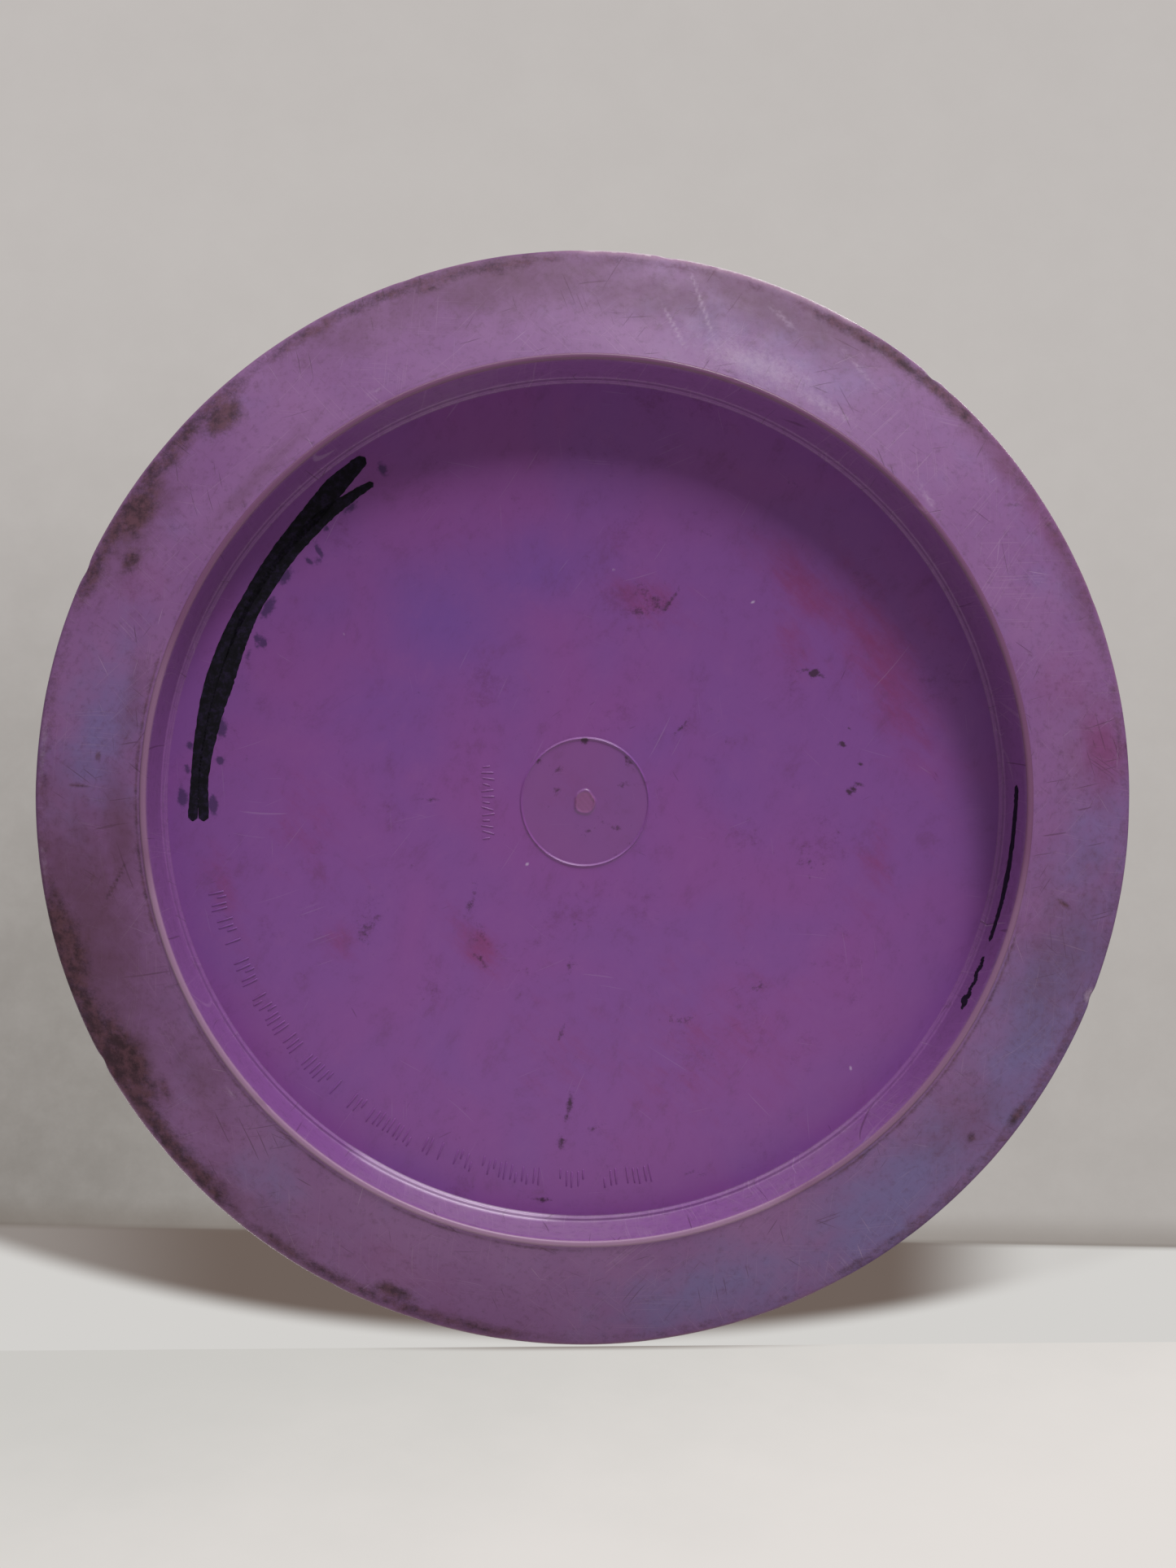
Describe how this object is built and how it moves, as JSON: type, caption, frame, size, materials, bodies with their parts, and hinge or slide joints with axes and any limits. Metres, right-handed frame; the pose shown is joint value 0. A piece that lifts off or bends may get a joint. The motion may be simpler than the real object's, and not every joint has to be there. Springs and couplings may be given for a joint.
{
  "type": "flying disc",
  "caption": "Round flying disc: thick wing-shaped rim with a beaded lip round an open cavity, closed by a thin, slightly domed flight plate.",
  "frame": {"origin": "centre of the plane that the rim's lip rests on", "axes": "+Z along the spin axis, out through the dome; the open cavity faces -Z"},
  "size_m": [0.211, 0.211, 0.0149],
  "materials": {
    "rim_plastic": "worn, scuffed satin, muted purple, with ground-in dirt round the nose",
    "plate_plastic": "smooth moulded purple with soft drifts of magenta and blue",
    "marker_ink": "black felt-pen ink on the underside"
  },
  "bodies": {
    "root": {"rim": "rim_plastic", "flight_plate": "plate_plastic"}
  },
  "joints": []
}
